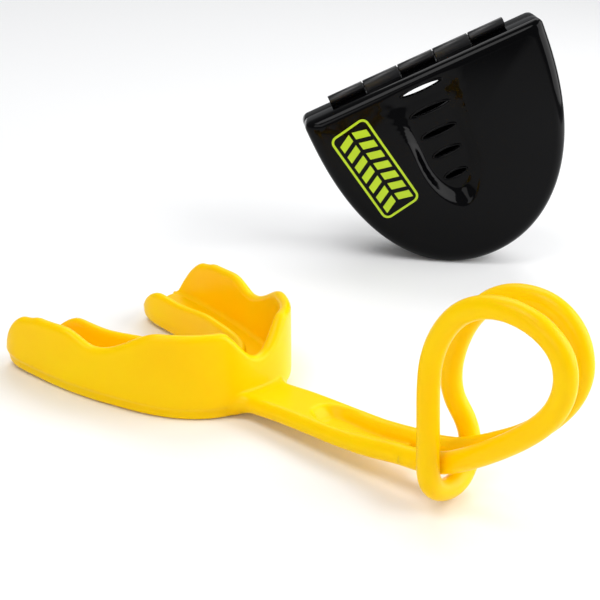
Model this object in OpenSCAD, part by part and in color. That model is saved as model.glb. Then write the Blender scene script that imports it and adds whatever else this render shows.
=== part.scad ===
// Strapped mouthguard lying in front of its storage case.
// Units are millimetres. X runs right, Y runs away, Z runs up from the table.
// The mouthguard is drawn in its own frame: x forward along the strap, y to the
// wearer's left side of the arch, z up from the bite plate.
// The case is drawn in its own frame: x along the hinge, y from the hinge edge
// to the round front, z out through the lid.

/* [Mouthguard] */
// Half the outside width of the arch
arch_w = 31; // [27:0.1:35]
// Depth of the arch from the front teeth to the start of the rear ends
arch_d = 49.4; // [44:0.2:56]
// Height of the cheek-side wall over the front teeth
wall_h = 20.5; // [16:0.5:24]
// Height at the bottom of the notch at the middle of the front
notch_h = 12.6; // [9:0.2:16]
// Thickness of the bite plate
plate_t = 3.6; // [2.6:0.2:5]
// How far the plate rises towards the back teeth
rear_rise = 4.6; // [0:0.2:7]

/* [Strap] */
// Width of the flat strap at its root
strap_w = 15.4; // [11:0.2:18]
// Thickness of the strap
strap_t = 4.3; // [3:0.1:5]
// Diameter of the loop's round cord
cord_d = 5; // [4:0.1:6]

/* [Case] */
// Half the width of the case along its hinge
case_w = 40.5; // [36:0.5:46]
// Distance from the hinge edge to the round front
case_l = 67.1; // [60:0.1:80]
// Height of the lid above the parting line
lid_h = 9.5; // [8.5:0.5:14]
// Depth of the base below the parting line
base_h = 17; // [14:0.5:20]
// Wall thickness of both shells
shell_t = 1.8; // [1.4:0.1:2.4]

/* [Hidden] */
$fn = 48;

// ---- placing -------------------------------------------------------------
guard_turn = -38.6;              // heading of the strap
guard_tip = 6.76;                // nose up: it rests on the rear ends and the loop
guard_at = [-10.385, -56.95, 1.66];
case_roll = 29;                  // the case stands on its round front, rolled over
case_yaw = 7.25;                 // and turned a little to the left
case_at = [26.455, 68.59, 62.825]; // middle of the hinge edge, on the parting line

module on_guard() translate(guard_at) rotate([0, -guard_tip, guard_turn]) children();
module on_case() translate(case_at)
    rotate([0, 0, case_yaw]) rotate([0, 180 - case_roll, 0]) rotate([90, 0, 0]) children();

// ---- helpers ---------------------------------------------------------------
function smooth(t) = let (c = max(0, min(1, t))) c * c * (3 - 2 * c);
function blend(a, b, t) = a + (b - a) * smooth(t);
// smooth curve through [angle, value] knots
function along(k, a, i = 0) =
    a <= k[0][0] ? k[0][1]
    : i >= len(k) - 1 ? k[len(k) - 1][1]
    : a <= k[i + 1][0] ? blend(k[i][1], k[i + 1][1], (a - k[i][0]) / (k[i + 1][0] - k[i][0]))
    : along(k, a, i + 1);

function backward(v) = [for (i = [len(v) - 1:-1:0]) v[i]];

// closed solid through a list of equal rings of points, with flat fan ends
module skin(rings) {
    n = len(rings[0]);
    m = len(rings);
    polyhedron(
        points = [for (r = rings) for (p = r) p],
        faces = concat(
            [for (i = [0:m - 2]) for (j = [0:n - 1]) [i * n + j, i * n + (j + 1) % n, (i + 1) * n + j]],
            [for (i = [0:m - 2]) for (j = [0:n - 1]) [i * n + (j + 1) % n, (i + 1) * n + (j + 1) % n, (i + 1) * n + j]],
            [for (j = [1:n - 2]) [0, j + 1, j]],
            [for (j = [1:n - 2]) [(m - 1) * n, (m - 1) * n + j, (m - 1) * n + j + 1]]));
}

// ---- mouthguard ------------------------------------------------------------
arch_n = 2.39;                   // squareness of the arch
flare = 0.12;                    // how much the arms spread towards the back
tail = 10.3;                     // straight part of each arm, past the arch
inner_n = 2.2;                   // squareness of the tongue side
rear_width = 20;                 // plate width at the back teeth
front_width = 10.5;              // plate width at the front teeth
end_angle = 98;                  // where the arms end
round_angle = 92;                // where the ends start to round off in plan
end_squeeze = 0.66;              // width left at the very end
arch_step = 4;
wall_t = 3.2;                    // cheek-side wall
tongue_t = 2.8;                  // tongue-side wall
tongue_h = 12;
edge_z = 3;                      // height of the lower outer edge
front_drop = 1.2;                // how far the underside swells down at the front
drop_end = 24.7;                 // where the swelling has died away
rim = 1.5;                       // depth of the rounded rim

stations = [for (i = [-24:24]) i * arch_step];
angles = concat([-end_angle, -97.4], stations, [97.4, end_angle]);

function power(v, p) = pow(max(0, v), p);
function arc_y(w, a, n) = sign(a) * w * (abs(a) < 90 ? power(sin(abs(a)), 2 / n) : 1);
function arc_x(d, a, n) = abs(a) < 90 ? d * power(cos(a), 2 / n) : -tail * (abs(a) - 90) / (end_angle - 90);
function spread(x) = 1 + flare * max(0, -x / arch_d - 0.5);
function outer(a) = let (x = arc_x(arch_d, a, arch_n) - arch_d) [x, arc_y(arch_w * spread(x), a, arch_n)];
function inner(a) = let (x = arc_x(abs(a) < 90 ? arch_d - front_width : arch_d, a, inner_n) - arch_d)
    [x, arc_y(arch_w * spread(x) - rear_width, a, inner_n)];
function rise(x) = rear_rise * power(-x / arch_d, 1.7);
function drop(x) = front_drop * (1 - smooth(-x / drop_end));
function squeeze(a) = abs(a) < round_angle ? 1
    : end_squeeze + (1 - end_squeeze) * sqrt(1 - power((abs(a) - round_angle) / (end_angle - round_angle), 2));

// point across the plate: s mm in from the cheek side, z mm above the plate's underside
function across(a, s, z) =
    let (o = outer(a), q = inner(a), w = norm(q - o), k = squeeze(a),
         t = 0.5 + (s / w - 0.5) * k, p = o + (q - o) * t)
    [p[0], p[1], z + rise(p[0]) - (z < plate_t ? drop(p[0]) : 0)];
function plate_w(a) = norm(inner(a) - outer(a));

cheek_knots = [[0, notch_h], [19, wall_h], [44.5, wall_h], [69, wall_h - 6.3],
    [79, wall_h - 3.7], [87, wall_h - 4.1], [90.5, wall_h - 5.4]];
end_h = plate_t + 0.4;           // wall height at the very end of an arm
fall_angle = 90.5;               // where the walls start to round down to the ends
// height h, rounding down to end_h at the very end
function end_fall(a, h) = abs(a) < fall_angle ? h
    : end_h + (h - end_h) * power(1 - power((abs(a) - fall_angle) / (end_angle - fall_angle), 1.6), 0.72);
function cheek_h(a) = end_fall(a, along(cheek_knots, abs(a)));
tongue_knots = [[0, tongue_h - 0.5], [60, tongue_h], [84, tongue_h - 1.7]];
function tongue_top(a) = end_fall(a, along(tongue_knots, abs(a)));

module bite_plate() color("gold") on_guard()
    skin([for (a = backward(angles)) let (w = plate_w(a)) [
        across(a, 1, 0), across(a, w - 2, 0), across(a, w - 0.5, 0.8), across(a, w, 2),
        across(a, w, plate_t), across(a, w - tongue_t, plate_t), across(a, wall_t, plate_t),
        across(a, 0, plate_t), across(a, 0, edge_z), across(a, 0.3, 0.9)]]);

// rounded rim of a wall between s0 and s1, top at height h
function rim_points(a, s0, s1, h) = let (r = min(rim, 0.7 * (h - plate_t))) [
    across(a, s0, h - r), across(a, s0 + 0.3, h - 0.4 * r), across(a, s0 + 0.9, h - 0.07 * r),
    across(a, s1 - 0.9, h - 0.07 * r), across(a, s1 - 0.3, h - 0.4 * r), across(a, s1, h - r)];

module cheek_wall() color("gold") on_guard()
    skin([for (a = angles) let (h = cheek_h(a))
        concat([across(a, 0, plate_t)], rim_points(a, 0, wall_t - 0.3, h), [across(a, wall_t, plate_t)])]);

module tongue_wall() color("gold") on_guard()
    skin([for (a = angles) let (h = tongue_top(a), w = plate_w(a))
        concat([across(a, w, plate_t), across(a, w - tongue_t, plate_t)],
               rim_points(a, w - tongue_t + 0.2, w, h))]);

// ---- strap -----------------------------------------------------------------
flex_x = 7;                      // where the strap bends first
flex_z = 2.2;
flex_gap = 0.3;
root_depth = 2.2;                // how far the root is bedded in the guard
web_end = 46;                    // where the rails part into two cords
dish_start = 17;
rail_y = 4.6;                    // rail centre line at the end of the web
web_step = 2.5;

module strap_root() color("gold") on_guard()
    difference() {
        union() {
            translate([-root_depth, -strap_w / 2, flex_z - strap_t / 2])
                cube([flex_x + root_depth, strap_w, strap_t]);
            // flared foot against the guard
            translate([0, 0, flex_z - strap_t / 2])
                linear_extrude(strap_t)
                    polygon([[-root_depth, -strap_w / 2 - 2.4], [0, -strap_w / 2 - 1.4], [1.2, -strap_w / 2 - 0.5],
                             [3, -strap_w / 2], [3, strap_w / 2], [1.2, strap_w / 2 + 0.5],
                             [0, strap_w / 2 + 1.4], [-root_depth, strap_w / 2 + 2.4]]);
        }
        translate([flex_x, 0, flex_z])
            rotate([90, 0, 0])
                cylinder(h = strap_w + 4, r = strap_t / 2 + flex_gap, center = true);
    }

// height of the strap's middle plane
function web_z(x) = x < flex_x ? flex_z : x < 35 ? blend(flex_z, 1.0, (x - flex_x) / (35 - flex_x)) : blend(1.0, 1.5, (x - 35) / (web_end - 35));
function web_half(x) = blend(strap_w / 2, rail_y + cord_d / 2 - 0.1, (x - 24) / (web_end - 24));
function dish(x) = 2.4 * smooth((x - dish_start) / 18) * smooth((web_end - x) / 3);   // spoon-shaped hollow
function dish_half(x) = max(0.4, (web_half(x) - 3.6) * smooth((x - dish_start + 3) / 12));
nose_turns = [12, 35, 60];
web_xs = concat([for (x = [flex_x:web_step:web_end - 4]) x], [web_end - 3, web_end - 1.5, web_end]);
// one ring of the web: half width w, half thickness t
function web_ring(x, w, t) =
    let (z = web_z(x), d = dish(x), k = dish_half(x), c = w - t, b = 0.55 * t, e = 0.68 * t)
    [[x, c, z - t], [x, w - b + 0.5, z - e], [x, w, z], [x, w - b + 0.5, z + e], [x, c, z + t],
     [x, k + 0.4, z + t - 0.15 * d], [x, k, z + t - 0.7 * d], [x, k * 0.5, z + t - d],
     [x, -k * 0.5, z + t - d], [x, -k, z + t - 0.7 * d], [x, -k - 0.4, z + t - 0.15 * d],
     [x, -c, z + t], [x, -w + b - 0.5, z + e], [x, -w, z], [x, -w + b - 0.5, z - e], [x, -c, z - t]];

module strap_web() color("gold") on_guard()
    skin(backward(concat(
        [for (b = nose_turns) web_ring(flex_x - strap_t / 2 * cos(b), strap_w / 2 - strap_t / 2 * (1 - sin(b)), strap_t / 2 * sin(b))],
        [for (x = web_xs) web_ring(x, web_half(x), strap_t / 2)])));

// route of the round cord: along the near rail, up and over, down beside the
// strap, under it, up the other side, over again and back along the far rail
loop_route = [
    [46, -4.6, 1.5], [52, -4.5, 1.7], [58, -4.7, 3.3], [64.5, -5, 6.7], [71, -5.3, 10.8],
    [77.5, -5.7, 15.7], [82.7, -6.1, 21.1], [85.4, -6.5, 27.2], [85, -6.9, 33.6],
    [81.2, -7.2, 38.2], [75.3, -7.4, 40.9], [68.5, -7.6, 41.4], [61.8, -7.8, 38.8],
    [57.3, -8.1, 33.4], [55.1, -8.6, 26.6], [55.2, -9.2, 18.7], [56, -9.9, 11.1],
    [56.2, -10.1, 4.8], [56.1, -9, -0.2], [56, -5.4, -3.5], [55.8, -0.2, -4.7],
    [55.2, 4.8, -4.1], [54.4, 8.9, -1], [53.5, 10.3, 3], [52, 10.1, 7.5],
    [49.4, 9.3, 12.2], [49, 8.5, 18.5], [51, 7.9, 26.2], [55.2, 7.2, 33.4], [61.2, 6.6, 38.4],
    [67.9, 6.4, 40.2], [74.9, 6.4, 39.1], [80.2, 6.4, 34.6], [82.3, 6.4, 27.8], [80.7, 6.4, 21.2],
    [76.5, 6, 15.3], [70.4, 5.5, 10], [63.5, 5, 6.3], [57.5, 4.7, 3.5], [52, 4.5, 1.9], [46, 4.6, 1.5]];
loop_sides = 10;
// centripetal-free spline: a point a fraction u after route point i
function route(i) = loop_route[max(0, min(len(loop_route) - 1, i))];
function spline(i, u) =
    0.5 * (2 * route(i) + (route(i + 1) - route(i - 1)) * u
        + (2 * route(i - 1) - 5 * route(i) + 4 * route(i + 1) - route(i + 2)) * u * u
        + (3 * route(i) - route(i - 1) - 3 * route(i + 1) + route(i + 2)) * u * u * u);
loop_path = concat([for (i = [0:len(loop_route) - 2]) for (u = [0, 0.5]) spline(i, u)], [loop_route[len(loop_route) - 1]]);
function unit(v) = v / max(norm(v), 0.000001);
function heading(i) = unit(loop_path[min(len(loop_path) - 1, i + 1)] - loop_path[max(0, i - 1)]);
// side direction carried along the path without twisting
function carry(i, s) = unit(s - (s * heading(i)) * heading(i));
function sides(i, s) = i >= len(loop_path) ? [] : let (c = carry(i, s)) concat([c], sides(i + 1, c));
loop_side = sides(0, [0, 1, 0]);

module strap_loop() color("gold") on_guard()
    skin([for (i = [0:len(loop_path) - 1])
        let (p = loop_path[i], s = loop_side[i], v = cross(heading(i), s))
        [for (j = [0:loop_sides - 1])
            p + cord_d / 2 * (cos(-360 * j / loop_sides) * s + sin(-360 * j / loop_sides) * v)]]);

// ---- case ------------------------------------------------------------------
plan_p = 2.46;                   // fullness of the plan along its length
plan_q = 0.48;                   // roundness of the front
corner_r = 2.4;                  // rounded corners at the hinge edge
parting_gap = 0.15;              // each shell stops this far from the parting plane
lip_h = 1.5;                     // locating lip of the base
side_steps = 15;
hub_y = 0.42;                    // middle of the plan, as a share of its length

function half_at(t) = case_w * power(1 - power(t, plan_p), plan_q);
// half of the outline, from the middle of the hinge edge round to the front
half_plan = concat(
    [[0, 0], [case_w * 0.4, 0], [case_w * 0.75, 0]],
    [for (b = [0:30:90]) [case_w - corner_r + corner_r * sin(b), corner_r - corner_r * cos(b)]],
    [for (i = [1:side_steps]) let (t = 1 - power(1 - i / side_steps, 1.8), u = corner_r / case_l + t * (1 - corner_r / case_l))
        [half_at(u), u * case_l]]);
plan = concat(half_plan, [for (i = [len(half_plan) - 2:-1:1]) [-half_plan[i][0], half_plan[i][1]]]);
hub = [0, case_l * hub_y];

// height of the lid's outside over the plan: a low dome with a scooped grip
grip_x = 2.6;                    // the grip sits a little to one side
grip_half = [[3, 11.4], [26, 10.1]];
grip_round = 26;                 // where its sides start to draw together
grip_end = 46.7;
grip_depth = [[2.4, 0], [9, 1.1], [26, 2.8], [44, 3.4]];
// 0 on the grip's centre line, 1 at its outline
function grip_share(x, y) = power(abs(x - grip_x) / along(grip_half, y), 1.7)
    + power((y - grip_round) / (grip_end - grip_round), 2.1);
function chamfer(t) = let (e = 0.18, c = max(0, min(1, t)))
    c < e ? c * c / (2 * e * (1 - e)) : c > 1 - e ? 1 - (1 - c) * (1 - c) / (2 * e * (1 - e)) : (c - e / 2) / (1 - e);
function scoop(x, y) = along(grip_depth, y) * (1 - chamfer((grip_share(x, y) - 0.48) / 0.52));

// one ring of a shell: plan drawn in towards the hub by share s, at height z(p)
function ring(s, z) = [for (p = plan) let (q = hub + (p - hub) * s) [q[0], q[1], z]];
function dome_ring(s, top, under) = [for (p = plan) let (q = hub + (p - hub) * s)
    [q[0], q[1], top - 1.3 * s * s - scoop(q[0], q[1]) - under]];

wall_s = 0.95;                   // inside of the walls, as a share of the plan
dome_shares = [0.88, 0.8, 0.72, 0.64, 0.56, 0.48, 0.4, 0.32, 0.24, 0.16, 0.08, 0.02];

// vents: [distance from the hinge edge, width]
lid_slots = [[4.6, 13.5], [12.1, 12.9], [20.1, 11.2], [27.5, 9], [35.7, 7.3]];
base_slots = [[11.6, 14], [24, 12], [40, 9]];
slot_h = 2;
module slots(list, x, z0, z1) for (v = list)
    translate([x, v[0], z0])
        linear_extrude(z1 - z0)
            polygon([for (b = [0:24:336]) [v[1] / 2 * cos(b), slot_h / 2 * sin(b)]]);

lid_rings = concat(
    [for (s = backward(dome_shares)) dome_ring(s, lid_h, 0)],
    [ring(0.945, lid_h * 0.83), ring(0.985, lid_h * 0.68), ring(1, lid_h * 0.5), ring(1, parting_gap),
     ring(wall_s, parting_gap), ring(wall_s, lid_h * 0.48), ring(wall_s - 0.035, lid_h * 0.7)],
    [for (s = dome_shares) dome_ring(s, lid_h, shell_t)]);
module case_lid() color("#151518") on_case()
    difference() {
        skin(lid_rings);
        slots(lid_slots, 2.2, lid_h - 7.5, lid_h + 1);
    }

lip_s = wall_s - 0.012;          // outside of the locating lip
lip_in = lip_s - 0.03;
base_rings = [
    ring(0.02, -base_h), ring(0.79, -base_h), ring(0.86, 1.6 - base_h), ring(0.92, 5.2 - base_h), ring(0.97, 9 - base_h), ring(1, -5.5),
    ring(1, -parting_gap), ring(lip_s, -parting_gap), ring(lip_s, lip_h), ring(lip_in, lip_h), ring(lip_in, -1.2),
    ring(wall_s, -3.4), ring(wall_s, -5.7), ring(0.92, 9 - base_h), ring(0.87, 5.9 - base_h), ring(0.81, 3 - base_h),
    ring(0.75, shell_t - base_h), ring(0.02, shell_t - base_h)];
module case_base() color("#151518") on_case()
    difference() {
        skin(backward(base_rings));
        slots(base_slots, 0.9, -base_h - 1, 4 - base_h);
    }

// hinge
hinge_y = -1.9;
knuckle_r = 1.5;
pin_r = 0.8;
bore_r = 0.86;                   // running fit of the lid's knuckles on the pin
hinge_half = 30;
knuckle_gap = 0.3;
knuckles = 5;                    // base, lid, base, lid, base
knuckle_len = (2 * hinge_half - (knuckles - 1) * knuckle_gap) / knuckles;
function knuckle_x(i) = -hinge_half + i * (knuckle_len + knuckle_gap);

// every second knuckle from number first; side 1 joins the lid, -1 the base
module knuckle_row(first, side, bore) for (i = [first:2:knuckles - 1])
    translate([knuckle_x(i), hinge_y, 0])
        difference() {
            union() {
                rotate([0, 90, 0]) cylinder(h = knuckle_len, r = knuckle_r);
                translate([0, 0, side > 0 ? parting_gap + 0.25 : -knuckle_r])
                    cube([knuckle_len, -hinge_y, knuckle_r - parting_gap - 0.25]);
            }
            translate([-1, 0, 0]) rotate([0, 90, 0]) cylinder(h = knuckle_len + 2, r = bore);
        }
module base_knuckles() color("#1c1c20") on_case() knuckle_row(0, -1, pin_r);
module lid_knuckles() color("#1c1c20") on_case() knuckle_row(1, 1, bore_r);
module hinge_pin() color("silver") on_case()
    translate([0.5 - hinge_half, hinge_y, 0]) rotate([0, 90, 0]) cylinder(h = 2 * hinge_half - 1, r = pin_r);

// printed badge beside the grip: a thin film that follows the dome
badge_at = [25.5, 22.5];
badge_turn = 11;
badge_half = [6.8, 16.5];
badge_r = 2.4;
film_t = 0.2;
badge_bed = 0.2;                 // how far the film is bedded in the lid
badge_shares = [1, 0.75, 0.5, 0.25, 0.03];
badge_corners = [for (q = [0:3]) for (b = [0:30:90]) [q, q * 90 + b]];
function badge_ring(s, lift) = [for (c = badge_corners)
    let (sx = c[0] == 0 || c[0] == 3 ? 1 : -1, sy = c[0] < 2 ? 1 : -1,
         x = s * (sx * (badge_half[0] - badge_r) + badge_r * cos(c[1])),
         y = s * (sy * (badge_half[1] - badge_r) + badge_r * sin(c[1])),
         px = badge_at[0] + x * cos(badge_turn) - y * sin(badge_turn),
         py = badge_at[1] + x * sin(badge_turn) + y * cos(badge_turn))
    [px, py, dome_z(px, py) + lift]];
// share of the plan at which a point lies, by distance to the outline along the same ray
function dome_z(x, y) =
    let (v = [x, y] - hub, s = norm([v[0] / case_w, v[1] / (case_l * (v[1] > 0 ? 1 - hub_y : hub_y))]))
    lid_h - 1.3 * s * s;
module lid_decal() color("yellowgreen") on_case()
    skin(concat(
        [for (s = backward(badge_shares)) badge_ring(s, film_t)],
        [for (s = badge_shares) badge_ring(s, -badge_bed)]));

case_base();
base_knuckles();
hinge_pin();
case_lid();
lid_knuckles();
lid_decal();
bite_plate();
cheek_wall();
tongue_wall();
strap_root();
strap_web();
strap_loop();
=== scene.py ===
import bmesh
import bpy
from math import atan2, cos, hypot, pi, radians, sin, sqrt
from mathutils import Matrix, Vector


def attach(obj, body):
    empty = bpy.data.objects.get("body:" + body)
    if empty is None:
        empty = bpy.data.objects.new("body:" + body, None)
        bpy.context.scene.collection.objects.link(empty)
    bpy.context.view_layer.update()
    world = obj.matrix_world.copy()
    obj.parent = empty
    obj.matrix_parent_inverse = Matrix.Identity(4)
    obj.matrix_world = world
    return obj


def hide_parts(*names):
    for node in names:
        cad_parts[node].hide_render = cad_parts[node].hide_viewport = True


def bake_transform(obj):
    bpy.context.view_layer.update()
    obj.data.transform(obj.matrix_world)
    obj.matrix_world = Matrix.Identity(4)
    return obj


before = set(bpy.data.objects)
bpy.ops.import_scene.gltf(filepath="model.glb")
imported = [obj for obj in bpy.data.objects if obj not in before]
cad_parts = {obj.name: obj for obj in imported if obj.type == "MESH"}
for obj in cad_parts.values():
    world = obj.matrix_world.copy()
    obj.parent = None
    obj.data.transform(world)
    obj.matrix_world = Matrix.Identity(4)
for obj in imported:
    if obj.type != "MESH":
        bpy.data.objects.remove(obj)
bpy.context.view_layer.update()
MM = 0.001

# ---- camera -----------------------------------------------------------------
LOOK_AT = Vector((-0.003685, -0.05465, 0.0291))
CAM_DISTANCE = 0.3105
CAM_ELEVATION = radians(21.9)
CAM_ROLL = radians(5.5)
CAM_LENS, CAM_SENSOR = 78, 36

forward = Vector((0, cos(CAM_ELEVATION), -sin(CAM_ELEVATION)))
level_up = Vector((0, sin(CAM_ELEVATION), cos(CAM_ELEVATION)))
level_right = Vector((1, 0, 0))
right = level_right * cos(CAM_ROLL) + level_up * sin(CAM_ROLL)
up = level_up * cos(CAM_ROLL) - level_right * sin(CAM_ROLL)
cam_data = bpy.data.cameras.new("camera")
cam_data.lens = CAM_LENS
cam_data.sensor_width = CAM_SENSOR
camera = bpy.data.objects.new("camera", cam_data)
facing = Matrix((right, up, -forward)).transposed().to_4x4()
camera.matrix_world = Matrix.Translation(LOOK_AT - forward * CAM_DISTANCE) @ facing
bpy.context.scene.collection.objects.link(camera)
bpy.context.scene.camera = camera
bpy.context.scene.view_settings.view_transform = "Standard"

# ---- the two local frames, in millimetres -------------------------------------
GUARD_AT, GUARD_TURN, GUARD_TIP = Vector((-10.385, -56.95, 1.66)), -38.6, 6.76
CASE_AT, CASE_YAW, CASE_ROLL = Vector((26.455, 68.59, 62.825)), 7.25, 29


def spin(angle, axis):
    return Matrix.Rotation(radians(angle), 4, axis)


TO_METRES = Matrix.Scale(MM, 4)
GUARD = (Matrix.Translation(GUARD_AT * MM) @ spin(GUARD_TURN, "Z") @ spin(-GUARD_TIP, "Y")
         @ TO_METRES)
CASE = (Matrix.Translation(CASE_AT * MM) @ spin(CASE_YAW, "Z") @ spin(180 - CASE_ROLL, "Y")
        @ spin(90, "X") @ TO_METRES)


# ---- curves --------------------------------------------------------------------
def clamp(t):
    return max(0.0, min(1.0, t))


def smooth(t):
    t = clamp(t)
    return t * t * (3 - 2 * t)


def mix(a, b, t):
    return a + (b - a) * smooth(t)


def along(knots, v):
    """Smooth curve through (position, value) knots."""
    if v <= knots[0][0]:
        return knots[0][1]
    for (a, p), (b, q) in zip(knots, knots[1:]):
        if v <= b:
            return mix(p, q, (v - a) / (b - a))
    return knots[-1][1]


def circle(n):
    """Angles of n points round a circle."""
    return [2 * pi * i / n for i in range(n)]


# ---- meshes --------------------------------------------------------------------
def wrap_faces(rings, sides, closed=False):
    """Faces between rings of equal length; closed joins the last ring to the first."""
    faces = []
    for i in range(rings if closed else rings - 1):
        a, b = i * sides, (i + 1) % rings * sides
        for j in range(sides):
            k = (j + 1) % sides
            faces.append((a + j, a + k, b + k, b + j))
    return faces


def skin(rings):
    """Points and faces of a closed solid through equal rings."""
    m, n = len(rings), len(rings[0])
    faces = wrap_faces(m, n)
    faces.append(tuple(reversed(range(n))))
    faces.append(tuple(range((m - 1) * n, m * n)))
    return [p for ring in rings for p in ring], faces


def joined(parts):
    """Points and faces of several meshes as one."""
    verts, faces = [], []
    for part_verts, part_faces in parts:
        faces += [tuple(k + len(verts) for k in face) for face in part_faces]
        verts += part_verts
    return verts, faces


def add_mesh(name, verts, faces, place):
    """A smooth-shaded object from points in a local frame, its normals facing out."""
    me = bpy.data.meshes.new(name)
    me.from_pydata([place @ Vector(v) for v in verts], [], faces)
    me.update()
    me.shade_smooth()
    ob = bpy.data.objects.new(name, me)
    bpy.context.scene.collection.objects.link(ob)
    bm = bmesh.new()
    bm.from_mesh(me)
    bmesh.ops.recalc_face_normals(bm, faces=bm.faces)
    bm.to_mesh(me)
    bm.free()
    return ob


def add_skins(name, solids, place):
    """One object from several solids, each given as its rings."""
    return add_mesh(name, *joined([skin(rings) for rings in solids]), place)


def bake(ob):
    """Applies the object's modifiers to its mesh."""
    dg = bpy.context.evaluated_depsgraph_get()
    me = bpy.data.meshes.new_from_object(ob.evaluated_get(dg))
    ob.modifiers.clear()
    old = ob.data
    ob.data = me
    bpy.data.meshes.remove(old)


def merge(ob, extra):
    """Adds another object's mesh to ob's."""
    bm = bmesh.new()
    bm.from_mesh(ob.data)
    bm.from_mesh(extra.data)
    bm.to_mesh(ob.data)
    bm.free()
    bpy.data.objects.remove(extra)


def cut(ob, cutter):
    """Takes the cutter out of ob and removes the cutter."""
    m = ob.modifiers.new("cut", "BOOLEAN")
    m.operation = "DIFFERENCE"
    m.solver = "EXACT"
    m.object = cutter
    bpy.context.view_layer.update()
    bake(ob)
    bpy.data.objects.remove(cutter)


# ---- loop cord -----------------------------------------------------------------
CORD_D, CORD_SIDES = 5.0, 28
ROUTE_STEPS, RELAX_ROUNDS = 8, 12
JOIN_RINGS, JOIN_SHARE = 8, 0.94    # the cord is a little thinner where it meets the strap
ROUTE = [
    (46, -4.6, 1.5), (52, -4.5, 1.7), (58, -4.7, 3.3), (64.5, -5, 6.7), (71, -5.3, 10.8),
    (77.5, -5.7, 15.7), (82.7, -6.1, 21.1), (85.4, -6.5, 27.2), (85, -6.9, 33.6),
    (81.2, -7.2, 38.2), (75.3, -7.4, 40.9), (68.5, -7.6, 41.4), (61.8, -7.8, 38.8),
    (57.3, -8.1, 33.4), (55.1, -8.6, 26.6), (55.2, -9.2, 18.7), (56, -9.9, 11.1),
    (56.2, -10.1, 4.8), (56.1, -9, -0.2), (56, -5.4, -3.5), (55.8, -0.2, -4.7),
    (55.2, 4.8, -4.1), (54.4, 8.9, -1), (53.5, 10.3, 3), (52, 10.1, 7.5),
    (49.4, 9.3, 12.2), (49, 8.5, 18.5), (51, 7.9, 26.2), (55.2, 7.2, 33.4), (61.2, 6.6, 38.4),
    (67.9, 6.4, 40.2), (74.9, 6.4, 39.1), (80.2, 6.4, 34.6), (82.3, 6.4, 27.8),
    (80.7, 6.4, 21.2), (76.5, 6, 15.3), (70.4, 5.5, 10), (63.5, 5, 6.3), (57.5, 4.7, 3.5),
    (52, 4.5, 1.9), (46, 4.6, 1.5)]


def spline(points, steps):
    """Catmull-Rom curve through the points."""
    p = [Vector(v) for v in points]
    out = []
    for i in range(len(p) - 1):
        a, b, c, d = p[max(0, i - 1)], p[i], p[i + 1], p[min(len(p) - 1, i + 2)]
        for k in range(steps):
            u = k / steps
            out.append(0.5 * (2 * b + (c - a) * u + (2 * a - 5 * b + 4 * c - d) * u * u
                              + (3 * b - a - 3 * c + d) * u ** 3))
    out.append(p[-1])
    return out


def relax(path, rounds):
    """Takes the small kinks out of a path and keeps its ends."""
    for _ in range(rounds):
        middle = [(a + b * 2 + c) / 4 for a, b, c in zip(path, path[1:], path[2:])]
        path = [path[0]] + middle + [path[-1]]
    return path


def tube_rings(path, radius, sides):
    """Rings round a path that don't twist; radius is a function of the ring's number."""
    rings, side = [], Vector((0, 1, 0))
    for i, p in enumerate(path):
        h = (path[min(len(path) - 1, i + 1)] - path[max(0, i - 1)]).normalized()
        side = (side - side.dot(h) * h).normalized()
        other = h.cross(side)
        r = radius(i)
        rings.append([p + r * (cos(t) * side + sin(t) * other) for t in circle(sides)])
    return rings


def cord_radius(i):
    return CORD_D / 2 * mix(JOIN_SHARE, 1, min(i, len(loop_path) - 1 - i) / JOIN_RINGS)


loop_path = relax(spline(ROUTE, ROUTE_STEPS), RELAX_ROUNDS)
strap_loop = add_skins("strap_loop_cord", [tube_rings(loop_path, cord_radius, CORD_SIDES)], GUARD)
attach(strap_loop, "strap")
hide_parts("strap_loop")

# ---- mouthguard ----------------------------------------------------------------
# Angles run round the arch: 0 at the front, 90 where the straight arms begin.
ARCH_W, ARCH_D, TAIL = 31, 49.4, 10.3           # half width, curved depth, straight arm
ARCH_N, INNER_N, FLARE = 2.39, 2.2, 0.12        # squareness outside and inside, spread of the arms
FRONT_W, REAR_W = 10.5, 20                      # width of the bite plate
PLATE_T, REAR_RISE, RISE_POWER = 3.6, 4.6, 1.7  # plate, and its upward curve to the rear
FRONT_DROP, DROP_END = 1.2, 24.7                # fuller underside at the front
WALL_H, WALL_T, NOTCH_H, EDGE_Z = 20.5, 3.2, 12.6, 3.0
TONGUE_H, TONGUE_T = 12, 2.8
END_A, END_H, END_SQUEEZE = 98, 1.5, 0.6        # the arms' ends: angle, height, width
ROUND_A, FALL_A, FALL_RISE = 92, 90.5, 30       # where the arms narrow, and where they fall
RIM_STEPS, RIM_ROUND = 9, 0.8
CHEEK = [(0, NOTCH_H), (19, WALL_H), (44.5, WALL_H), (69, WALL_H - 6.3), (79, WALL_H - 3.7),
         (87, WALL_H - 4.1), (90.5, WALL_H - 5.4)]
TONGUE = [(0, TONGUE_H - 0.5), (60, TONGUE_H), (84, TONGUE_H - 1.7)]


def arch_x(d, a, n):
    if abs(a) < 90:
        return d * cos(radians(a)) ** (2 / n) - ARCH_D
    return -TAIL * (abs(a) - 90) / (END_A - 90) - ARCH_D


def arch_y(w, a, n):
    y = w * (sin(radians(abs(a))) ** (2 / n) if abs(a) < 90 else 1)
    return y if a > 0 else -y


def spread(x):
    return 1 + FLARE * max(0, -x / ARCH_D - 0.5)


def outer(a):
    x = arch_x(ARCH_D, a, ARCH_N)
    return Vector((x, arch_y(ARCH_W * spread(x), a, ARCH_N)))


def inner(a):
    x = arch_x(ARCH_D - FRONT_W, a, INNER_N)
    return Vector((x, arch_y(ARCH_W * spread(x) - REAR_W, a, INNER_N)))


def plate_rise(x):
    return REAR_RISE * max(0, -x / ARCH_D) ** RISE_POWER


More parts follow.
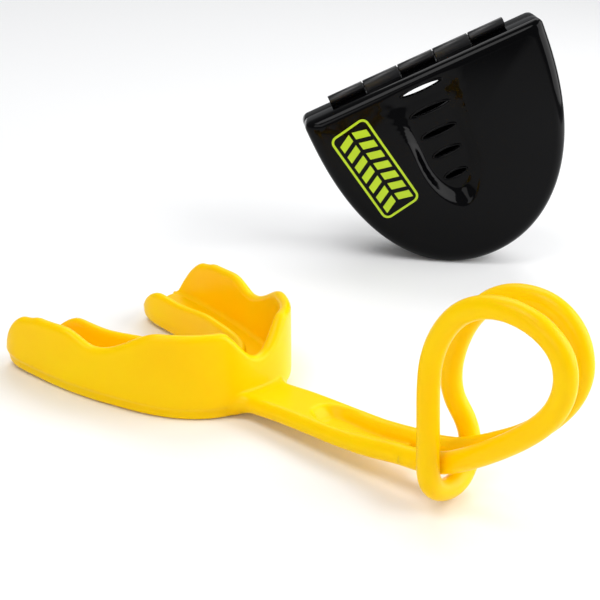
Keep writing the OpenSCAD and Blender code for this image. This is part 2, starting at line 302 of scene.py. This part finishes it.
def under_drop(x):
    return FRONT_DROP * (1 - smooth(-x / DROP_END))


def end_round(a, start, least):
    """1 before start, falling as a quarter ellipse to least at the arm's end."""
    if abs(a) < start:
        return 1
    t = min(1, (abs(a) - start) / (END_A - start))
    return least + (1 - least) * sqrt(1 - t * t)


def wall_top(a, knots):
    t = clamp((abs(a) - FALL_A) / (END_A - FALL_A))
    return END_H + (along(knots, abs(a)) - END_H) * (1 - t ** 1.6) ** 0.72


def rim(s0, s1, h):
    """Round top of a wall between s0 and s1."""
    r = (s1 - s0) / 2
    d = max(0.05, min(r, RIM_ROUND * (h - PLATE_T)))
    return [(s0 + r - r * cos(pi * i / RIM_STEPS), h - d + d * sin(pi * i / RIM_STEPS))
            for i in range(RIM_STEPS + 1)]


def guard_ring(a):
    """Section of the guard at angle a: cheek wall, channel, tongue wall and underside."""
    o, q = outer(a), inner(a)
    w = (q - o).length
    squeeze = end_round(a, ROUND_A, END_SQUEEZE)
    cap = END_H + FALL_RISE * end_round(a, FALL_A, 0)
    cheek, tongue = wall_top(a, CHEEK), wall_top(a, TONGUE)
    cheek_in, tongue_out = WALL_T, w - TONGUE_T
    outer_heel = [(2.4, 0), (1.7, 0.1), (1.2, 0.5), (1.0, 1.4), (0.8, 2.5), (0.1, 3.4)]
    upper = [(0, EDGE_Z + 0.6), (0, EDGE_Z + 0.35 * (cheek - EDGE_Z))]
    upper += rim(0.05, cheek_in - 0.1, cheek)
    upper += [(cheek_in, PLATE_T + 0.45 * (cheek - PLATE_T)),
              (cheek_in + 0.3, PLATE_T + 0.9), (cheek_in + 1.2, PLATE_T + 0.1),
              (w / 2, PLATE_T - 0.1),
              (tongue_out - 1.2, PLATE_T + 0.1), (tongue_out - 0.3, PLATE_T + 0.9),
              (tongue_out + 0.15, PLATE_T + 0.5 * (tongue - PLATE_T))]
    upper += rim(tongue_out + 0.2, w, tongue)
    inner_heel = [(w, PLATE_T), (w - 0.3, 1.4), (w - 1.1, 0.4), (w - 2.4, 0), (w / 2, 0)]
    ring = []
    for points, is_under in ((outer_heel, True), (upper, False), (inner_heel, True)):
        for s, z in points:
            p = o + (q - o) * (0.5 + (s / w - 0.5) * squeeze)
            drop = under_drop(p.x) if is_under else 0
            ring.append((p.x, p.y, min(z, cap) + plate_rise(p.x) - drop))
    return ring


# flat strap: x runs forward from the arch's front
FLEX_X, FLEX_Z, STRAP_W, STRAP_T = 7, 2.2, 15.4, 4.3
TIP_HALF = 7.1                      # half width where the cord begins
FOOT_X = 2.8                        # the strap swells into the guard before this
DISH_START, DISH_DEEP = 16.5, 2.7   # spoon-shaped hollow between the rails
WEB_STEPS, WEB_STEP, WEB_FIRST, WEB_LAST = 40, 0.5, -4, 86
RAIL_FIRST, RAIL_LAST, RAIL_SIDES, RAIL_R = 16, 50, 20, 1.4


def web_z(x):
    if x < FLEX_X:
        return FLEX_Z
    return mix(FLEX_Z, 1.0, (x - FLEX_X) / 28) if x < 35 else mix(1.0, 1.5, (x - 35) / 11)


def web_ring(x):
    foot = max(0, FOOT_X - x)
    t = STRAP_T / 2 + 0.05 * foot ** 2 + 0.2 * smooth((x - 22) / 20)
    w = mix(STRAP_W / 2, TIP_HALF, (x - 24) / 22) + 0.12 * foot ** 2
    start = clamp((x - DISH_START) / 9)
    dish = DISH_DEEP * smooth((x - DISH_START) / 4)
    half = max(0.3, (w - 3.1) * sqrt(1 - (1 - start) ** 2))
    z, top, bottom = web_z(x), [], []
    for i in range(WEB_STEPS + 1):
        y = -w * cos(pi * i / WEB_STEPS)
        edge = max(0, abs(y) - (w - t)) / t
        e = t * sqrt(max(0, 1 - edge * edge))
        hollow = dish * (1 - smooth((abs(y) - half + 1.0) / 1.7))
        top.append((x, y, z + e - hollow))
        bottom.append((x, y, z - e))
    return top + bottom[-2:0:-1]


def rail_radius(i):
    return RAIL_R + 1.05 * smooth(i / 22) - 0.25 * smooth((i - 28) / 6)


def rail(side):
    """One side of the strap swelling into the end of the cord."""
    line = [Vector((x, side * mix(5.5, 4.6, (x - 20) / 26), web_z(x) + 0.05))
            for x in range(RAIL_FIRST, RAIL_LAST + 1)]
    return tube_rings(line, rail_radius, RAIL_SIDES)


ends = [END_A - d for d in (0, 0.15, 0.4, 0.7)]
angles = [-e for e in ends] + list(range(1 - END_A, END_A)) + ends[::-1]
arms = [guard_ring(a if a else 0.001) for a in angles]   # the two sides meet at 0
web = [web_ring(i * WEB_STEP) for i in range(WEB_FIRST, WEB_LAST + 1)]
mouthguard = add_skins("mouthguard_moulding", [arms, web, rail(-1), rail(1)], GUARD)
remesh = mouthguard.modifiers.new("fuse", "REMESH")
remesh.mode = "VOXEL"
remesh.voxel_size = 0.32 * MM
soften = mouthguard.modifiers.new("soften", "SMOOTH")
soften.factor = 0.5
soften.iterations = 7
bake(mouthguard)
mouthguard.data.shade_smooth()
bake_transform(mouthguard)
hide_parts("bite_plate", "cheek_wall", "tongue_wall", "strap_root", "strap_web")

# ---- case: x along the hinge, y away from it, z up through the lid ---------------
CASE_W, CASE_L, LID_H, BASE_H, SHELL_T = 40.5, 67.1, 9.5, 17, 1.8
PLAN_P, PLAN_Q, CORNER_R, GAP = 2.46, 0.48, 2.4, 0.15
HUB = Vector((0, CASE_L * 0.42))    # the shells are rings of the plan, shrunk to this point
HUB_S = 0.004                       # share of the smallest ring
WALL_S = 0.95                       # share of the wall's inside
EDGE_S = 0.88                       # the lid's rounded edge lies outside this share
DOME = 1.3


def half_at(t):
    return CASE_W * max(0, 1 - t ** PLAN_P) ** PLAN_Q


def half_outline():
    """Half of the plan: hinge edge, round corner and side, as (x, y)."""
    pts = [(CASE_W * i / 14, 0) for i in range(0, 13)]
    for b in range(0, 91, 10):
        t = radians(b)
        pts.append((CASE_W - CORNER_R + CORNER_R * sin(t), CORNER_R - CORNER_R * cos(t)))
    start = CORNER_R / CASE_L
    for i in range(1, 61):
        t = 1 - (1 - i / 60) ** 1.8
        u = start + t * (1 - start)
        pts.append((half_at(u), u * CASE_L))
    return pts


half = half_outline()
PLAN = [Vector(p) for p in half] + [Vector((-x, y)) for x, y in half[-2:0:-1]]


def flat_rings(rows, lift=0):
    """Level rings of the plan from rows of (share, height)."""
    return [[(HUB.x + (p.x - HUB.x) * s, HUB.y + (p.y - HUB.y) * s, z + lift) for p in PLAN]
            for s, z in rows]


# scooped grip: wide and shallow by the hinge, narrow and deep at its far end
GRIP_X, GRIP_ROUND, GRIP_END = 2.6, 26, 46.7
GRIP_HALF = [(3, 11.4), (26, 10.1)]
GRIP_DEEP = [(1.6, 0), (8, 1.3), (26, 2.8), (44, 3.4)]
GRIP_FLOOR = 0.48                   # share of the grip where its wall begins


def chamfer(t, e=0.18):
    """Straight ramp from 0 to 1 with its two ends rounded over a share e."""
    t = clamp(t)
    if t < e:
        return t * t / (2 * e * (1 - e))
    return 1 - (1 - t) ** 2 / (2 * e * (1 - e)) if t > 1 - e else (t - e / 2) / (1 - e)


def grip(x, y):
    """Depth of the grip below the lid's dome."""
    across = (abs(x - GRIP_X) / along(GRIP_HALF, y)) ** 1.7
    far = max(0, (y - GRIP_ROUND) / (GRIP_END - GRIP_ROUND)) ** 2.1
    return along(GRIP_DEEP, y) * (1 - chamfer((across + far - GRIP_FLOOR) / (1 - GRIP_FLOOR)))


def lid_z(x, y, s):
    """Outside of the lid, s being the share of the plan."""
    if s > EDGE_S:
        q = (1 - s) / (1 - EDGE_S)
        z = LID_H / 2 + (LID_H - 1.0 - LID_H / 2) * sqrt(max(0, 1 - (1 - q) ** 2))
    else:
        z = LID_H - DOME * s * s
    return z - grip(x, y)


REACH = sorted((atan2(p.y - HUB.y, p.x - HUB.x), (p - HUB).length) for p in PLAN)


def share_of(x, y):
    """How far out from the hub a point lies, as a share of the plan."""
    angle, length = atan2(y - HUB.y, x - HUB.x), hypot(x - HUB.x, y - HUB.y)
    for (a, p), (b, q) in zip(REACH, REACH[1:]):
        if a <= angle <= b:
            return length / (p + (q - p) * (angle - a) / max(1e-9, b - a))
    return length / REACH[0][1]


def on_lid(x, y, lift):
    return (x, y, lid_z(x, y, share_of(x, y)) + lift)


def lid_ring(s, under=0):
    ring = []
    for p in PLAN:
        q = HUB + (p - HUB) * s
        ring.append((q.x, q.y, lid_z(q.x, q.y, s) - under))
    return ring


edge_shares = [1 - 0.12 * (i / 14) ** 1.7 for i in range(1, 15)]
dome_shares = [EDGE_S * (1 - i / 56) for i in range(1, 56)] + [HUB_S]
under_shares = [0.86 * (1 - i / 40) for i in range(40)] + [HUB_S]
LID_SIDE = [(1, LID_H / 2), (1, 3.4), (1, 0.5), (0.9975, GAP), (WALL_S + 0.002, GAP),
            (WALL_S, 0.5), (WALL_S, LID_H * 0.48), (WALL_S - 0.012, LID_H * 0.6),
            (WALL_S - 0.035, LID_H * 0.7), (WALL_S - 0.06, LID_H * 0.76)]
lid_rings = [lid_ring(s) for s in reversed(edge_shares + dome_shares)]
lid_rings += flat_rings(LID_SIDE)
lid_rings += [lid_ring(s, SHELL_T) for s in under_shares]
lid = add_skins("lid_moulding", [lid_rings], CASE)

# vents: distance from the hinge edge and width
LID_SLOTS = ((4.6, 13.5), (12.1, 12.9), (20.1, 11.2), (27.5, 9), (35.7, 7.3))
BASE_SLOTS = ((11.6, 14), (24, 12), (40, 9))
LID_SLOT_X, BASE_SLOT_X, SLOT_H = 2.2, 0.9, 2
BEAD_R, BEAD_SIDES, BEAD_OUT, BEAD_LIFT = 0.36, 12, 0.5, 0.02


def lens(x, y, w, h, n):
    return [(x + w / 2 * cos(t), y + h / 2 * sin(t)) for t in circle(n)]


def slot_cutter(name, slots, x, z0, z1):
    outlines = [lens(x, y, w, SLOT_H, 48) for y, w in slots]
    solids = [[[(a, b, z) for a, b in outline] for z in (z0, z1)] for outline in outlines]
    return add_skins(name, solids, CASE)


def closed_tube(points, radius, sides):
    """Points and faces of a ring-shaped bead along a closed line."""
    n, verts = len(points), []
    for i, p in enumerate(points):
        p, h = Vector(p), (Vector(points[(i + 1) % n]) - Vector(points[i - 1])).normalized()
        side = h.cross(Vector((0, 0, 1))).normalized()
        lift = side.cross(h)
        verts += [p + radius * (cos(t) * side + sin(t) * lift) for t in circle(sides)]
    return verts, wrap_faces(n, sides, closed=True)


cut(lid, slot_cutter("lid_slots", LID_SLOTS, LID_SLOT_X, LID_H - 7.5, LID_H + 1))
for y, w in LID_SLOTS:
    line = lens(LID_SLOT_X, y, w + BEAD_OUT, SLOT_H + BEAD_OUT, 72)
    bead = closed_tube([on_lid(a, b, BEAD_LIFT) for a, b in line], BEAD_R, BEAD_SIDES)
    merge(lid, add_mesh("bead", *bead, CASE))
lid.data.shade_smooth()
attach(lid, "lid")
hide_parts("case_lid")

# base: rows of (share, height); the bowl's heights are above its underside
LIP_S, LIP_IN, LIP_H = WALL_S - 0.012, WALL_S - 0.042, 1.5
BOWL = [(HUB_S, 0), (0.4, 0), (0.76, 0), (0.79, 0.05), (0.81, 0.25), (0.835, 0.75), (0.86, 1.6),
        (0.89, 3.1), (0.92, 5.2), (0.948, 7.3), (0.97, 9), (0.988, 10.4), (0.997, 11.3), (1, 12)]
BASE_EDGE = [(1, -3), (1, -0.5), (0.9975, -GAP), (LIP_S + 0.002, -GAP), (LIP_S, 0.2),
             (LIP_S, LIP_H - 0.3), (LIP_S - 0.006, LIP_H), (LIP_IN + 0.004, LIP_H),
             (LIP_IN, LIP_H - 0.3), (LIP_IN, -1.2), (WALL_S - 0.02, -2.6), (WALL_S, -3.6),
             (WALL_S, -5.7)]
BOWL_IN = [(0.92, 9), (0.895, 7.4), (0.87, 5.9), (0.84, 4.2), (0.81, 3), (0.78, 2.15),
           (0.75, SHELL_T), (0.4, SHELL_T), (HUB_S, SHELL_T)]
base_rings = flat_rings(BOWL, -BASE_H) + flat_rings(BASE_EDGE) + flat_rings(BOWL_IN, -BASE_H)
base = add_skins("base_moulding", [base_rings], CASE)
cut(base, slot_cutter("base_slots", BASE_SLOTS, BASE_SLOT_X, -BASE_H - 1, 4 - BASE_H))
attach(base, "case")
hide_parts("case_base")

# hinge: barrels with an arm to their shell, bored for the pin
HINGE_Y, HINGE_HALF, KNUCKLE_R, PIN_R, BORE_R = -1.9, 30, 1.5, 0.8, 0.86
KNUCKLES, KNUCKLE_GAP, KNUCKLE_SIDES, PIN_SIDES = 5, 0.3, 72, 36
KNUCKLE_LEN = (2 * HINGE_HALF - (KNUCKLES - 1) * KNUCKLE_GAP) / KNUCKLES
KNUCKLE_EDGE = [(0, 0.22), (0.07, 0.07), (0.22, 0)]   # rounded ends: distance in, inset
PIN_END = [(0, 0.45), (0.06, 0.62), (0.2, 0.75), (0.4, PIN_R)]
PIN_SHORT = 0.5
SHARP = radians(40)


def knuckle_profile(side, inset):
    """Outline of a knuckle round its bore; side 1 reaches up to the lid, -1 down to the base."""
    out = []
    for t in circle(KNUCKLE_SIDES):
        r, y, z = KNUCKLE_R, cos(t), sin(t) * side
        if y > 0 and z > 0.18 * y:
            r = max(r, min((0.3 - HINGE_Y) / max(y, 1e-6), KNUCKLE_R / z))
        out.append(((r - inset) * cos(t) + HINGE_Y, (r - inset) * sin(t)))
    return out


def knuckle_row(name, first, side, bore):
    """Every second knuckle from first, as one object."""
    hole = [(bore * cos(t) + HINGE_Y, bore * sin(t)) for t in circle(KNUCKLE_SIDES)]
    parts = []
    for k in range(first, KNUCKLES, 2):
        x0 = -HINGE_HALF + k * (KNUCKLE_LEN + KNUCKLE_GAP)
        x1 = x0 + KNUCKLE_LEN
        rows = [(x0 + d, knuckle_profile(side, inset)) for d, inset in KNUCKLE_EDGE]
        rows += [(x1 - d, knuckle_profile(side, inset)) for d, inset in reversed(KNUCKLE_EDGE)]
        rows += [(x1, hole), (x0, hole)]
        verts = [(x, y, z) for x, row in rows for y, z in row]
        parts.append((verts, wrap_faces(len(rows), KNUCKLE_SIDES, closed=True)))
    ob = add_mesh(name, *joined(parts), CASE)
    ob.data.set_sharp_from_angle(angle=SHARP)
    return ob


base_hinge = knuckle_row("base_hinge_knuckles", 0, -1, PIN_R)
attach(base_hinge, "case")
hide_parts("base_knuckles")
lid_hinge = knuckle_row("lid_hinge_knuckles", 1, 1, BORE_R)
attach(lid_hinge, "lid")
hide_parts("lid_knuckles")
pin_rows = [(PIN_SHORT - HINGE_HALF + d, r) for d, r in PIN_END]
pin_rows += [(-x, r) for x, r in reversed(pin_rows)]
pin_rings = [[(x, HINGE_Y + r * cos(t), r * sin(t)) for t in circle(PIN_SIDES)]
             for x, r in pin_rows]
pin = add_skins("hinge_wire", [pin_rings], CASE)
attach(pin, "case")
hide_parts("hinge_pin")

# ---- badge: a plain frame with slanted bars, printed on the lid --------------------
BADGE_AT, BADGE_TURN, BADGE_HALF, BADGE_R = (25.5, 22.5), radians(11), (6.8, 16.5), 2.4
PRINT_T, PRINT_BED = 0.12, 0.08     # the print stands this far out of the lid, and into it
FRAME_T = 0.75
BARS, BAR_SLANT, BAR_FILL, BAR_MARGIN = 7, 0.4, 0.62, 2.1
BAR_COLUMNS = ((-5.0, -0.55, -1), (0.55, 5.0, 1))   # from u, to u, direction of the slant
BAR_STEPS = (6, 3)


def badge_point(u, v, lift):
    x = BADGE_AT[0] + u * cos(BADGE_TURN) - v * sin(BADGE_TURN)
    y = BADGE_AT[1] + u * sin(BADGE_TURN) + v * cos(BADGE_TURN)
    return on_lid(x, y, lift)


def print_patch(rows):
    """A thin printed shape through rows of points (u, v) of equal length."""
    n, m = len(rows[0]), len(rows)
    verts = [badge_point(u, v, lift) for lift in (PRINT_T, -PRINT_BED) for row in rows for u, v in row]
    faces = []
    for i in range(m - 1):
        for j in range(n - 1):
            a = i * n + j
            faces.append((a, a + 1, a + n + 1, a + n))
            faces.append(tuple(n * m + k for k in (a + n, a + n + 1, a + 1, a)))
    edge = list(range(n)) + [i * n + n - 1 for i in range(1, m)]
    edge += [(m - 1) * n + j for j in range(n - 2, -1, -1)] + [i * n for i in range(m - 2, 0, -1)]
    for a, b in zip(edge, edge[1:] + edge[:1]):
        faces.append((b, a, n * m + a, n * m + b))
    return verts, faces


def frame_line(inset):
    """Closed rounded rectangle, inset from the badge's outline."""
    w, h, r = BADGE_HALF[0] - inset, BADGE_HALF[1] - inset, max(0.3, BADGE_R - inset)

    def corner(q, share):
        sx, sy = ((1, 1), (-1, 1), (-1, -1), (1, -1))[q]
        t = radians(90 * q + 90 * share)
        return (sx * (w - r) + r * cos(t), sy * (h - r) + r * sin(t))

    pts = []
    for q in range(4):
        pts += [corner(q, i / 8) for i in range(9)]
        a, b = pts[-1], corner((q + 1) % 4, 0)
        steps = 12 if q % 2 else 6
        pts += [(a[0] + (b[0] - a[0]) * k / steps, a[1] + (b[1] - a[1]) * k / steps)
                for k in range(1, steps)]
    return pts


def bar(u0, u1, v0, direction):
    rows = []
    for i in range(BAR_STEPS[0] + 1):
        u = u0 + (u1 - u0) * i / BAR_STEPS[0]
        shift = BAR_SLANT * (u - (u0 + u1) / 2) * direction
        rows.append([(u, v0 + shift + BAR_FILL * pitch * j / BAR_STEPS[1])
                     for j in range(BAR_STEPS[1] + 1)])
    return print_patch(rows)


frame_rows = [[a, ((a[0] + b[0]) / 2, (a[1] + b[1]) / 2), b]
              for a, b in zip(frame_line(0), frame_line(FRAME_T))]
prints = [print_patch(frame_rows + frame_rows[:1])]
pitch = 2 * (BADGE_HALF[1] - BAR_MARGIN) / BARS
for u0, u1, direction in BAR_COLUMNS:
    for k in range(BARS):
        v0 = BAR_MARGIN - BADGE_HALF[1] + (k + 0.5 * (1 - BAR_FILL)) * pitch
        prints.append(bar(u0, u1, v0, direction))
badge = add_mesh("badge_print", *joined(prints), CASE)
badge.data.set_sharp_from_angle(angle=SHARP)
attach(badge, "lid")
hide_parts("lid_decal")


# ---- materials ---------------------------------------------------------------------
def material(name, colour, rough, **inputs):
    mat = bpy.data.materials.new(name)
    mat.use_nodes = True
    bsdf = mat.node_tree.nodes["Principled BSDF"]
    bsdf.inputs["Base Color"].default_value = (*colour, 1)
    bsdf.inputs["Roughness"].default_value = rough
    for key, value in inputs.items():
        bsdf.inputs[key.replace("_", " ")].default_value = value
    return mat


def vary(mat, colours, rough, drift_scale, grain_scale, bump, bump_distance):
    """Slow colour drift, uneven gloss and a fine surface bump."""
    tree = mat.node_tree
    bsdf = tree.nodes["Principled BSDF"]

    def node(kind, **inputs):
        n = tree.nodes.new(kind)
        for key, value in inputs.items():
            n.inputs[key].default_value = value
        return n

    where = node("ShaderNodeTexCoord")
    drift = node("ShaderNodeTexNoise", Scale=drift_scale, Detail=3.0)
    tree.links.new(where.outputs["Object"], drift.inputs["Vector"])
    ramp = node("ShaderNodeValToRGB")
    for stop, position, colour in zip(ramp.color_ramp.elements, (0.3, 0.7), colours):
        stop.position = position
        stop.color = (*colour, 1)
    tree.links.new(drift.outputs["Fac"], ramp.inputs["Fac"])
    tree.links.new(ramp.outputs["Color"], bsdf.inputs["Base Color"])
    gloss = node("ShaderNodeMapRange")
    gloss.inputs["To Min"].default_value, gloss.inputs["To Max"].default_value = rough
    tree.links.new(drift.outputs["Fac"], gloss.inputs["Value"])
    tree.links.new(gloss.outputs["Result"], bsdf.inputs["Roughness"])
    grain = node("ShaderNodeTexNoise", Scale=grain_scale, Detail=4.0)
    tree.links.new(where.outputs["Object"], grain.inputs["Vector"])
    height = node("ShaderNodeBump", Strength=bump, Distance=bump_distance)
    tree.links.new(grain.outputs["Fac"], height.inputs["Height"])
    tree.links.new(height.outputs["Normal"], bsdf.inputs["Normal"])


yellow = material("eva_yellow", (1.0, 0.66, 0.0), 0.36, Subsurface_Weight=0.2,
                  Subsurface_Radius=(1.0, 0.5, 0.02), Subsurface_Scale=0.002,
                  Specular_IOR_Level=0.1)
vary(yellow, ((1.0, 0.59, 0.0), (1.0, 0.65, 0.0)), rough=(0.24, 0.36),
     drift_scale=45, grain_scale=900, bump=0.08, bump_distance=0.00015)

black = material("case_black_gloss", (0.001, 0.001, 0.0012), 0.08, Specular_IOR_Level=0.1)
vary(black, ((0.0008, 0.0008, 0.001), (0.0016, 0.0016, 0.002)), rough=(0.05, 0.1),
     drift_scale=30, grain_scale=260, bump=0.02, bump_distance=0.0001)

satin = material("hinge_black_satin", (0.008, 0.008, 0.009), 0.3)
vary(satin, ((0.006, 0.006, 0.007), (0.012, 0.012, 0.013)), rough=(0.25, 0.4),
     drift_scale=60, grain_scale=700, bump=0.06, bump_distance=0.0001)

steel = material("pin_steel", (0.02, 0.02, 0.022), 0.4, Metallic=1.0)
vary(steel, ((0.015, 0.015, 0.016), (0.03, 0.03, 0.032)), rough=(0.35, 0.5),
     drift_scale=120, grain_scale=1500, bump=0.05, bump_distance=0.00005)

green = material("badge_green", (0.42, 0.6, 0.0), 0.4)
vary(green, ((0.4, 0.57, 0.0), (0.45, 0.63, 0.003)), rough=(0.3, 0.42),
     drift_scale=80, grain_scale=900, bump=0.03, bump_distance=0.00005)

for ob, mat in ((mouthguard, yellow), (strap_loop, yellow), (lid, black), (base, black),
                (base_hinge, satin), (lid_hinge, satin), (pin, steel), (badge, green)):
    ob.data.materials.clear()
    ob.data.materials.append(mat)

# ---- stage -----------------------------------------------------------------------------
FLOOR_HALF = 4
floor_me = bpy.data.meshes.new("floor")
floor_me.from_pydata([(x * FLOOR_HALF, y * FLOOR_HALF, 0)
                      for x, y in ((-1, -1), (1, -1), (1, 1), (-1, 1))], [], [(0, 1, 2, 3)])
floor_ob = bpy.data.objects.new("floor", floor_me)
bpy.context.scene.collection.objects.link(floor_ob)
floor_me.materials.append(material("floor_pale", (0.93, 0.93, 0.93), 0.6))

world = bpy.data.worlds.new("studio")
bpy.context.scene.world = world
world.use_nodes = True
world.node_tree.nodes["Background"].inputs["Color"].default_value = (0.95, 0.97, 1.0, 1)
world.node_tree.nodes["Background"].inputs["Strength"].default_value = 0.3


def area(name, place, target, size, power):
    data = bpy.data.lights.new(name, "AREA")
    data.shape = "RECTANGLE"
    data.size, data.size_y = size
    data.energy = power
    ob = bpy.data.objects.new(name, data)
    ob.location = place
    ob.rotation_mode = "QUATERNION"
    ob.rotation_quaternion = (Vector(target) - Vector(place)).to_track_quat("-Z", "Y")
    bpy.context.scene.collection.objects.link(ob)


area("key", (-0.25, -0.25, 0.7), (0, 0, 0), (0.36, 0.36), 2.0)
area("front", (-0.35, -0.8, 0.4), (0, 0, 0.02), (0.6, 0.4), 1.8)
area("side", (0.57, 0.03, 0.32), (0.04, 0.08, 0.04), (0.65, 0.6), 4.4)
area("back", (0, 1.1, 1.3), (0, 0.5, 0), (1.4, 1.0), 11)
